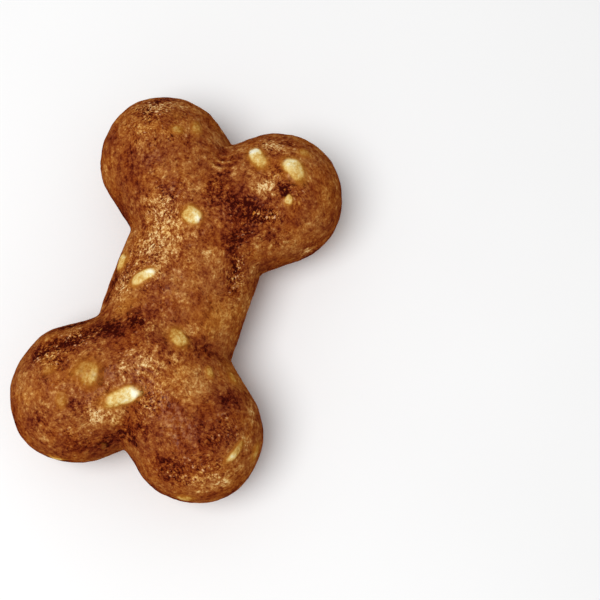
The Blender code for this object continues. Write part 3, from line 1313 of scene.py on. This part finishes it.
class Weave:
    """A node tree being put together, with short calls for the nodes that it needs."""

    def __init__(self, tree: bpy.types.NodeTree) -> None:
        """Takes an empty tree."""
        self.tree = tree

    def node(self, kind: str, **settings: object) -> bpy.types.Node:
        """Adds a node.

        Args:
            kind: the node's type name.
            settings: its own settings, by their names.

        Returns:
            The node.
        """
        made = self.tree.nodes.new(kind)
        for name, value in settings.items():
            setattr(made, name, value)
        return made

    def feed(self, socket: Socket, value: Socket | float | Colour) -> None:
        """Links a socket to another, or sets its value.

        Args:
            socket: the input that is fed.
            value: another node's output, or a number, a vector or a colour.
        """
        if isinstance(value, bpy.types.NodeSocket):
            self.tree.links.new(value, socket)
        else:
            socket.default_value = value

    def math(self, operation: str, *values: Socket | float, clamp: bool = False) -> Socket:
        """Adds a math node.

        Args:
            operation: what it works out.
            values: its one to three inputs.
            clamp: whether its result is held between 0 and 1.

        Returns:
            Its result.
        """
        made = self.node("ShaderNodeMath", operation=operation, use_clamp=clamp)
        for socket, value in zip(made.inputs, values):
            self.feed(socket, value)
        return made.outputs[0]

    def plus(
        self, base: Socket | float, value: Socket | float, weight: Socket | float, clamp: bool = False
    ) -> Socket:
        """Adds base + value * weight, held between 0 and 1 if clamp is set."""
        return self.math("MULTIPLY_ADD", value, weight, base, clamp=clamp)

    def step(self, value: Socket, low: float, high: float) -> Socket:
        """Adds a smooth rise from 0 to 1.

        Args:
            value: what rises.
            low: where the result is 0.
            high: where it is 1.

        Returns:
            The result.
        """
        made = self.node("ShaderNodeMapRange", interpolation_type="SMOOTHSTEP")
        for name, given in (("Value", value), ("From Min", low), ("From Max", high)):
            self.feed(made.inputs[name], given)
        return made.outputs["Result"]

    def grain(self, place: Socket, size: float, detail: float, gain: float) -> Socket:
        """Adds fractal noise about 0.

        Args:
            place: the coordinates, in metres.
            size: the size of its largest features, in metres.
            detail: how many octaves it adds to them.
            gain: the strength of an octave over that of the one before.

        Returns:
            The noise, about 0.
        """
        made = self.node("ShaderNodeTexNoise", noise_dimensions="3D")
        for name, given in (
            ("Vector", place),
            ("Scale", 1 / size),
            ("Detail", detail),
            ("Roughness", gain),
        ):
            self.feed(made.inputs[name], given)
        return self.math("SUBTRACT", made.outputs["Fac"], 0.5)

    def cells(self, place: Socket, size: float) -> tuple[Socket, Socket]:
        """Adds cells about scattered points.

        Args:
            place: the coordinates, in metres.
            size: the cells' size, in metres.

        Returns:
            The distance to the cell's point, over its size, and the cell's own number, about 0.5.
        """
        made = self.node("ShaderNodeTexVoronoi", voronoi_dimensions="3D", feature="F1")
        self.feed(made.inputs["Vector"], place)
        self.feed(made.inputs["Scale"], 1 / size)
        return made.outputs["Distance"], made.outputs["Color"]

    def mix(self, share: Socket | float, first: Socket | Colour, second: Socket | Colour) -> Socket:
        """Adds a mix of two colours.

        Args:
            share: how much of the second colour it takes, from 0 to 1.
            first: the first colour.
            second: the second colour.

        Returns:
            The mixed colour.
        """
        made = self.node("ShaderNodeMix", data_type="RGBA", clamp_factor=True)
        self.feed(made.inputs[0], share)
        self.feed(made.inputs[6], first)
        self.feed(made.inputs[7], second)
        return made.outputs[2]

    def tinted(self, first: Socket, second: Socket) -> Socket:
        """Adds the product of two colours, channel by channel.

        Args:
            first: the first colour.
            second: the second colour.

        Returns:
            The product.
        """
        made = self.node("ShaderNodeMix", data_type="RGBA", blend_type="MULTIPLY")
        self.feed(made.inputs[0], 1.0)
        self.feed(made.inputs[6], first)
        self.feed(made.inputs[7], second)
        return made.outputs[2]

    def blend(self, share: Socket | float, first: Socket, second: Socket) -> Socket:
        """Adds a mix of two values.

        Args:
            share: how much of the second value it takes, from 0 to 1.
            first: the first value.
            second: the second value.

        Returns:
            The mixed value.
        """
        made = self.node("ShaderNodeMix", data_type="FLOAT", clamp_factor=True)
        self.feed(made.inputs[0], share)
        self.feed(made.inputs[2], first)
        self.feed(made.inputs[3], second)
        return made.outputs[0]

    def ramp(self, value: Socket, stops: tuple[tuple[float, Colour], ...]) -> Socket:
        """Adds a colour ramp.

        Args:
            value: the place on the ramp, from 0 to 1.
            stops: the places and colours that it goes through.

        Returns:
            The colour.
        """
        made = self.node("ShaderNodeValToRGB")
        made.color_ramp.interpolation = "B_SPLINE"
        elements = made.color_ramp.elements
        while len(elements) < len(stops):
            elements.new(1.0)
        for element, (place, colour) in zip(elements, stops):
            element.position = place
            element.color = colour
        self.feed(made.inputs["Fac"], value)
        return made.outputs["Color"]

    def mask(self, name: str) -> Socket:
        """Reads a mask from the piece's points."""
        return self.node("ShaderNodeAttribute", attribute_name=name).outputs["Fac"]

    def group(self, tree: bpy.types.NodeTree, **values: Socket | float) -> bpy.types.Node:
        """Places a node group.

        Args:
            tree: the group.
            values: a socket or number for each input, by the input's name in small letters.

        Returns:
            The group's node.
        """
        made = self.node("ShaderNodeGroup", node_tree=tree)
        for name, value in values.items():
            self.feed(made.inputs[name.replace("_", " ").title()], value)
        return made


def new_group(
    name: str, inputs: dict[str, float | None], outputs: dict[str, str]
) -> tuple[Weave, bpy.types.Node, bpy.types.Node]:
    """Starts a node group with named inputs and outputs.

    Args:
        name: the group's name.
        inputs: each input's name and value, with no value for coordinates.
        outputs: each output's name and the kind of its socket.

    Returns:
        The group's weave, its input node and its output node.
    """
    tree = bpy.data.node_groups.new(name, "ShaderNodeTree")
    for label, value in inputs.items():
        kind = "NodeSocketVector" if value is None else "NodeSocketFloat"
        socket = tree.interface.new_socket(label, in_out="INPUT", socket_type=kind)
        if value is not None:
            socket.default_value = value
    for label, kind in outputs.items():
        tree.interface.new_socket(label, in_out="OUTPUT", socket_type=kind)
    weave = Weave(tree)
    return weave, weave.node("NodeGroupInput"), weave.node("NodeGroupOutput")


CRUST_RAMP = (
    (0.00, from_srgb(48, 10, 7)),
    (0.13, from_srgb(76, 20, 12)),
    (0.25, from_srgb(101, 37, 18)),
    (0.38, from_srgb(124, 57, 25)),
    (0.50, from_srgb(143, 77, 33)),
    (0.62, from_srgb(160, 97, 45)),
    (0.74, from_srgb(185, 128, 69)),
    (0.86, from_srgb(212, 166, 104)),
    (1.00, from_srgb(236, 208, 156)),
)

GRAIN_RAMP = (
    (0.0, from_srgb(150, 86, 26)),
    (0.2, from_srgb(172, 112, 38)),
    (0.4, from_srgb(206, 160, 80)),
    (0.6, from_srgb(224, 190, 114)),
    (0.8, from_srgb(240, 226, 170)),
    (1.0, from_srgb(253, 251, 230)),
)

HONEY_TINT = (1.03, 0.93, 0.66, 1.0)
PLAIN_TINT = (1.01, 1.01, 1.0, 1.0)
# painted highlights: the glints' colours on rough crust and on burnt crust
ROUGH_SHINE = from_srgb(230, 180, 136)
BURNT_SHINE = from_srgb(208, 128, 44)
GOLDEN = from_srgb(178, 112, 34)

CRUST_MASKS = ("char", "pale", "gold", "rough", "side", "fold")
FINE_MARKS = ("Flecks", "Glints", "Pits", "Specks")


@dataclass(frozen=True)
class CrustLook:
    """The crust's colour and fine relief, as node groups that both materials share.

    A tone is a place on the colour ramp, from 0 at its dark end to 1. Each weight says how far one
    effect moves the tone, and each height how far one effect raises the surface.
    """

    mottle_size: float = 7.0 * MM
    warm_size: float = 5.0 * MM
    lean_size: float = 3.5 * MM
    speck_size: float = 0.8 * MM
    crumb_size: float = 0.8 * MM
    fleck_size: float = 0.26 * MM
    glint_size: float = 0.5 * MM
    middle_tone: float = 0.492
    mottle_weight: float = 1.45
    # painted highlight and shade: the folds' ridges are lightened and their hollows darkened
    fold_light_shade_weight: float = 0.26
    fleck_weight: float = 2.1
    glint_weight: float = 0.26
    # painted shade: how much the small pits are darkened
    pit_shade_weight: float = -0.22
    speck_weight: float = 0.65
    # painted shade: how much steep sides are darkened
    steep_shade_weight: float = -0.15
    pale_weight: float = 0.25
    char_weight: float = -0.345
    crumb_height: float = 0.14 * MM
    fleck_height: float = 0.08 * MM
    glint_height: float = 0.03 * MM
    pit_height: float = -0.05 * MM
    fleck_length: float = 1.7
    fleck_turns: tuple[tuple[float, float, float], ...] = ((10, 0, 25), (0, 20, 95), (-15, 0, 150))

    def fleck_group(self) -> bpy.types.NodeTree:
        """Fine marks that run one way in some places and another way in others.

        Flecks are noise about 0. Glints are 1 near the middle of about a third of the small cells,
        and pits near the middle of about a quarter of them, with edges that the flecks break up.
        All are drawn out along three lines, and broad noise picks between the three. Specks are
        noise about 0 that isn't drawn out.

        Returns:
            The group.
        """
        kinds = dict.fromkeys(FINE_MARKS, "NodeSocketFloat")
        weave, given, out = new_group("CrustFlecks", {"Place": None}, kinds)
        place = given.outputs["Place"]
        marks: list[Socket] = []
        for number, turn in enumerate(self.fleck_turns):
            layer = weave.node("ShaderNodeMapping", vector_type="TEXTURE")
            weave.feed(layer.inputs["Vector"], place)
            weave.feed(layer.inputs["Location"], (0.1 * number, 0.0, 0.0))
            weave.feed(layer.inputs["Rotation"], tuple(math.radians(angle) for angle in turn))
            weave.feed(layer.inputs["Scale"], (1.0, self.fleck_length, 1.3))
            drawn = layer.outputs["Vector"]
            fleck = weave.grain(drawn, self.fleck_size, 2.0, 0.8)
            away, pick = weave.cells(drawn, self.glint_size)
            away = weave.plus(away, fleck, 1.3)
            near = weave.math("SUBTRACT", 1.0, weave.step(away, 0.22, 0.42))
            glint = weave.math("MULTIPLY", near, weave.step(pick, 0.57, 0.63))
            pit = weave.math("MULTIPLY", near, weave.math("SUBTRACT", 1.0, weave.step(pick, 0.3, 0.38)))
            if marks:
                here = weave.step(weave.grain(drawn, self.lean_size, 1.0, 0.5), -0.05, 0.05)
                marks = [weave.blend(here, old, new) for old, new in zip(marks, (fleck, glint, pit))]
            else:
                marks = [fleck, glint, pit]
        specks = weave.grain(place, self.speck_size, 2.0, 0.7)
        for name, mark in zip(FINE_MARKS, (*marks, specks)):
            weave.feed(out.inputs[name], mark)
        return weave.tree

    def colour_group(self, flecks: bpy.types.NodeTree) -> bpy.types.NodeTree:
        """The crust's colour, from dark to light along the ramp.

        Its place on the ramp is the middle tone, plus each effect times its weight: mottling,
        folds, flecks, glints, pits, specks, steep sides, and the pale and burnt masks, both broken
        up by the specks. Some of these are painted light and shade: the folds' ridges are lighter
        and their hollows darker, glints are painted highlights, the pits and steep sides are
        darkened as painted shade, and the burnt mask holds painted shade along the creases too.
        Flecks, glints and pits are crisper where the crust is rough or burnt, and fainter on its
        sides. Broad noise tints the colour honey in places, glints shine with a painted highlight
        colour, and the golden mask is mixed in where the crust isn't burnt. The gloss is least on
        sides and burns.

        Args:
            flecks: the group of the fine marks.

        Returns:
            The group.
        """
        weave, given, out = new_group(
            "CrustColour",
            {"Place": None} | dict.fromkeys((name.title() for name in CRUST_MASKS), 0.0),
            {"Colour": "NodeSocketColor", "Tone": "NodeSocketFloat", "Gloss": "NodeSocketFloat"},
        )
        place, char, pale = (given.outputs[name] for name in ("Place", "Char", "Pale"))
        mottle = weave.grain(place, self.mottle_size, 5.0, 0.8)
        fine = weave.group(flecks, place=place)
        specks, side, rough = fine.outputs["Specks"], given.outputs["Side"], given.outputs["Rough"]
        crisp = weave.plus(weave.plus(0.36, rough, 0.95), weave.step(char, 0.2, 1.2), 0.35)
        crisp = weave.math("MULTIPLY", crisp, weave.plus(1.0, side, -0.45))
        fleck, glint, pit = (
            weave.math("MULTIPLY", fine.outputs[name], crisp) for name in FINE_MARKS[:3]
        )
        glint = weave.math("MULTIPLY", glint, weave.step(specks, -0.12, 0.12))
        tone: Socket | float = self.middle_tone
        for value, weight in (
            (mottle, self.mottle_weight),
            # painted highlight and shade: the folds' ridges are lighter and their hollows darker
            (given.outputs["Fold"], self.fold_light_shade_weight),
            (fleck, self.fleck_weight),
            # painted highlight: glints lighten the tone
            (glint, self.glint_weight),
            # painted shade: the small pits, which the relief sinks a little, are darkened
            (pit, self.pit_shade_weight),
            (specks, self.speck_weight),
            # painted shade: steep sides are darkened
            (weave.step(side, 0.6, 1.0), self.steep_shade_weight),
            (pale, weave.plus(self.pale_weight, specks, 0.65)),
            (char, weave.plus(self.char_weight, specks, 1.0)),
        ):
            tone = weave.plus(tone, value, weight)
        colour = weave.ramp(tone, CRUST_RAMP)
        tint = weave.plus(weave.grain(place, self.warm_size, 3.0, 0.7), pale, 0.1)
        tint = weave.mix(weave.step(tint, -0.16, 0.16), HONEY_TINT, PLAIN_TINT)
        colour = weave.tinted(colour, tint)
        # painted highlight: glints are mixed with a pale shine colour
        shine = weave.mix(weave.math("SUBTRACT", char, rough), ROUGH_SHINE, BURNT_SHINE)
        share = weave.math("MULTIPLY", weave.step(glint, 0.15, 1.0), 0.75)
        colour = weave.mix(share, colour, shine)
        golden = weave.math("MULTIPLY", given.outputs["Gold"], weave.plus(0.55, specks, 1.2))
        golden = weave.math("MULTIPLY", golden, weave.plus(1.0, char, -1.2, clamp=True))
        weave.feed(out.inputs["Colour"], weave.mix(golden, colour, GOLDEN))
        weave.feed(out.inputs["Tone"], tone)
        dull = weave.plus(weave.plus(0.22, side, -0.4), char, -0.2, clamp=True)
        gloss = weave.math("MULTIPLY", weave.step(specks, -0.1, 0.2), dull)
        weave.feed(out.inputs["Gloss"], gloss)
        return weave.tree

    def relief_group(self, flecks: bpy.types.NodeTree) -> bpy.types.NodeTree:
        """The height of the crust's fine crumb, in metres.

        It is crumb noise, flecks, glints and pits, each times its height, added up.

        Args:
            flecks: the group of the fine marks.

        Returns:
            The group.
        """
        weave, given, out = new_group("CrumbHeight", {"Place": None}, {"Height": "NodeSocketFloat"})
        place = given.outputs["Place"]
        fine = weave.group(flecks, place=place)
        crumb = weave.grain(place, self.crumb_size, 3.0, 0.7)
        height = weave.math("MULTIPLY", crumb, self.crumb_height)
        rises = (self.fleck_height, self.glint_height, self.pit_height)
        for name, rise in zip(FINE_MARKS, rises):
            height = weave.plus(height, fine.outputs[name], rise)
        weave.feed(out.inputs["Height"], height)
        return weave.tree


@dataclass(frozen=True)
class SharedGroups:
    """The node groups that both finishes place."""

    colour: bpy.types.NodeTree
    relief: bpy.types.NodeTree

    @classmethod
    def built(cls, look: CrustLook) -> "SharedGroups":
        """Builds each group once."""
        flecks = look.fleck_group()
        return cls(look.colour_group(flecks), look.relief_group(flecks))


def new_material(name: str) -> tuple[Weave, bpy.types.Material, bpy.types.Node]:
    """Starts a material with only its shader and its output.

    Args:
        name: the material's name.

    Returns:
        The material's weave, the material and its shader.
    """
    material = bpy.data.materials.new(name)
    material.use_nodes = True
    material.node_tree.nodes.clear()
    weave = Weave(material.node_tree)
    shader = weave.node("ShaderNodeBsdfPrincipled")
    output = weave.node("ShaderNodeOutputMaterial")
    weave.feed(output.inputs["Surface"], shader.outputs["BSDF"])
    return weave, material, shader


def crust_colour(weave: Weave, groups: SharedGroups, place: Socket) -> bpy.types.Node:
    """Places the crust's colour group with the piece's own masks."""
    masks = {name: weave.mask(name) for name in CRUST_MASKS}
    return weave.group(groups.colour, place=place, **masks)


def crumb_normal(weave: Weave, groups: SharedGroups, place: Socket, share: float) -> Socket:
    """Places the relief group and turns a share of its height into a normal.

    Args:
        weave: the material's weave.
        groups: the shared groups.
        place: the coordinates, in metres.
        share: how much of the height is taken.

    Returns:
        The normal.
    """
    height = weave.group(groups.relief, place=place).outputs["Height"]
    bump = weave.node("ShaderNodeBump")
    bump.inputs["Distance"].default_value = 1.0
    weave.feed(bump.inputs["Height"], weave.math("MULTIPLY", height, share))
    return bump.outputs["Normal"]


@dataclass(frozen=True)
class CrustFinish:
    """Baked crust: brown, unevenly burnt, with a soft gloss.

    Its roughness is that of the darkest tone, and roughness_by_tone is added to it by the lightest.
    """

    roughness: float = 0.66
    roughness_by_tone: float = -0.12
    specular: float = 0.0
    coat_roughness: float = 0.3
    relief: float = 1.0

    def material(self, groups: SharedGroups) -> bpy.types.Material:
        """Makes the crust's material.

        Args:
            groups: the shared groups.

        Returns:
            The material.
        """
        weave, material, shader = new_material("baked_crust")
        place = weave.node("ShaderNodeTexCoord").outputs["Object"]
        colour = crust_colour(weave, groups, place)
        weave.feed(shader.inputs["Base Color"], colour.outputs["Colour"])
        rough = weave.plus(self.roughness, colour.outputs["Tone"], self.roughness_by_tone)
        weave.feed(shader.inputs["Roughness"], rough)
        shader.inputs["Specular IOR Level"].default_value = self.specular
        weave.feed(shader.inputs["Coat Weight"], colour.outputs["Gloss"])
        shader.inputs["Coat Roughness"].default_value = self.coat_roughness
        weave.feed(shader.inputs["Normal"], crumb_normal(weave, groups, place, self.relief))
        return material


@dataclass(frozen=True)
class GrainFinish:
    """A pale grain: cream with golden edges, veiled by the crust where it dips under it.

    A tone is a place on its colour ramp, and each weight says how far one effect moves it.
    """

    mottle_size: float = 1.1 * MM
    crumb_size: float = 0.4 * MM
    middle_tone: float = 0.57
    mottle_weight: float = 1.2
    crumb_weight: float = 0.65
    mask_weights: tuple[tuple[str, float], ...] = (("cream", 0.56), ("rim", -0.6), ("veil", -0.55))
    roughness: float = 0.45
    specular: float = 0.0
    coat_roughness: float = 0.3
    relief: float = 0.6

    def material(self, groups: SharedGroups) -> bpy.types.Material:
        """Makes the grains' material.

        Its colour goes over into the crust's at the ragged rim, and where the veil is thick.

        Args:
            groups: the shared groups.

        Returns:
            The material.
        """
        weave, material, shader = new_material("pale_grain")
        place = weave.node("ShaderNodeTexCoord").outputs["Object"]
        crust = crust_colour(weave, groups, place)
        mottle = weave.grain(place, self.mottle_size, 3.0, 0.7)
        crumbs = weave.grain(place, self.crumb_size, 2.0, 0.7)
        tone = weave.plus(self.middle_tone, mottle, self.mottle_weight)
        tone = weave.plus(tone, crumbs, self.crumb_weight)
        for name, weight in self.mask_weights:
            tone = weave.plus(tone, weave.mask(name), weight)
        colour = weave.ramp(tone, GRAIN_RAMP)
        ragged = weave.plus(weave.plus(weave.mask("rim"), mottle, 1.4), crumbs, 0.9)
        edge = weave.step(ragged, 0.15, 0.95)
        veil = weave.mask("veil")
        patchy = weave.step(weave.math("ADD", mottle, veil), 0.3, 1.0)
        cover = weave.math("MAXIMUM", patchy, weave.step(veil, 0.85, 1.0))
        share = weave.math("MAXIMUM", edge, cover)
        weave.feed(shader.inputs["Base Color"], weave.mix(share, colour, crust.outputs["Colour"]))
        shader.inputs["Roughness"].default_value = self.roughness
        shader.inputs["Specular IOR Level"].default_value = self.specular
        weave.feed(shader.inputs["Coat Weight"], crust.outputs["Gloss"])
        shader.inputs["Coat Roughness"].default_value = self.coat_roughness
        weave.feed(shader.inputs["Normal"], crumb_normal(weave, groups, place, self.relief))
        return material


@dataclass(frozen=True)
class Studio:
    """A pale table, soft light, and the camera at the photo's angle.

    Lengths are in metres, but those of the lens and the sensor are in millimetres.
    """

    table_side: float = 3.0
    table_level: float = -0.05 * MM
    sky: float = 0.5
    key_power: float = 1.33
    key_size: float = 0.3
    key_place: tuple[float, float, float] = (-0.11, 0.091, 0.42)
    table_grain: float = 0.05
    table_roughness: float = 0.9
    table_specular: float = 0.1
    sensor: float = 36.0
    clip: tuple[float, float] = (0.005, 20.0)
    lens: float = 69.26
    eye: tuple[float, float, float] = (-28.795 * MM, -29.357 * MM, 185.02 * MM)
    right: tuple[float, float, float] = (0.31713975, -0.94837882, 0.0)
    up: tuple[float, float, float] = (0.92948291, 0.31082092, 0.19862497)

    def table(self) -> None:
        """Lays the table: a square grid, dull and nearly white, with a faint grain."""
        steps = np.linspace(-0.5, 0.5, 9) * self.table_side
        across, along = np.meshgrid(steps, steps)
        points = np.column_stack([along.ravel(), across.ravel(), np.full(along.size, self.table_level)])
        number = np.arange(along.size).reshape(along.shape)
        corners = [number[:-1, :-1], number[:-1, 1:], number[1:, 1:], number[1:, :-1]]
        quads = np.stack(corners, axis=-1).reshape(-1, 4)[:, ::-1]
        mesh = bpy.data.meshes.new("table")
        mesh.from_pydata(points.tolist(), [], quads.tolist())
        weave, material, shader = new_material("pale_table")
        place = weave.node("ShaderNodeTexCoord").outputs["Object"]
        shade = weave.step(weave.grain(place, self.table_grain, 2.0, 0.5), -0.5, 0.5)
        colour = weave.mix(shade, from_srgb(244, 244, 244), from_srgb(248, 248, 248))
        weave.feed(shader.inputs["Base Color"], colour)
        shader.inputs["Roughness"].default_value = self.table_roughness
        shader.inputs["Specular IOR Level"].default_value = self.table_specular
        mesh.materials.append(material)
        floor = bpy.data.objects.new("table", mesh)
        bpy.context.scene.collection.objects.link(floor)

    def light(self) -> None:
        """Lights the treat: an even pale sky and one large soft lamp above the camera's side."""
        world = bpy.data.worlds.new("studio")
        world.use_nodes = True
        world.node_tree.nodes["Background"].inputs["Color"].default_value = (1.0, 1.0, 1.0, 1.0)
        world.node_tree.nodes["Background"].inputs["Strength"].default_value = self.sky
        bpy.context.scene.world = world
        lamp = bpy.data.lights.new("key", "AREA")
        lamp.shape = "DISK"
        lamp.size = self.key_size
        lamp.energy = self.key_power
        key = bpy.data.objects.new("key", lamp)
        key.location = self.key_place
        key.rotation_euler = (Vector(key.location) * -1).to_track_quat("-Z", "Y").to_euler()
        bpy.context.scene.collection.objects.link(key)

    def camera(self) -> None:
        """Sets the camera down where the photo was taken from."""
        lens = bpy.data.cameras.new("camera")
        lens.lens = self.lens
        lens.sensor_width = self.sensor
        lens.clip_start, lens.clip_end = self.clip
        camera = bpy.data.objects.new("camera", lens)
        back = Vector(self.right).cross(Vector(self.up))
        turn = Matrix((self.right, self.up, back)).transposed()
        camera.matrix_world = Matrix.Translation(self.eye) @ turn.to_4x4()
        bpy.context.scene.collection.objects.link(camera)
        bpy.context.scene.camera = camera

    def build(self) -> None:
        """Sets up the table, the light and the camera."""
        self.table()
        self.light()
        self.camera()
        bpy.context.scene.view_settings.view_transform = "Standard"


def report(piece: bpy.types.Object) -> None:
    """Logs a piece's name and the number of its faces."""
    log.info("%s: %d faces", piece.name, len(piece.data.polygons))


def main() -> None:
    """Builds the treat's pieces in order, and then the studio round them."""
    logging.basicConfig(level=logging.INFO, format="%(name)s: %(message)s")
    groups = SharedGroups.built(CrustLook())
    form = BoneForm()
    crust = Crust()
    studio = Studio()
    grains = GrainScatter().placed(form, studio.eye)
    report(crust.build(form, grains, CrustFinish().material(groups)))
    report(Kernels().build(form, crust, grains, GrainFinish().material(groups)))
    studio.build()


if __name__ == "__main__":
    main()
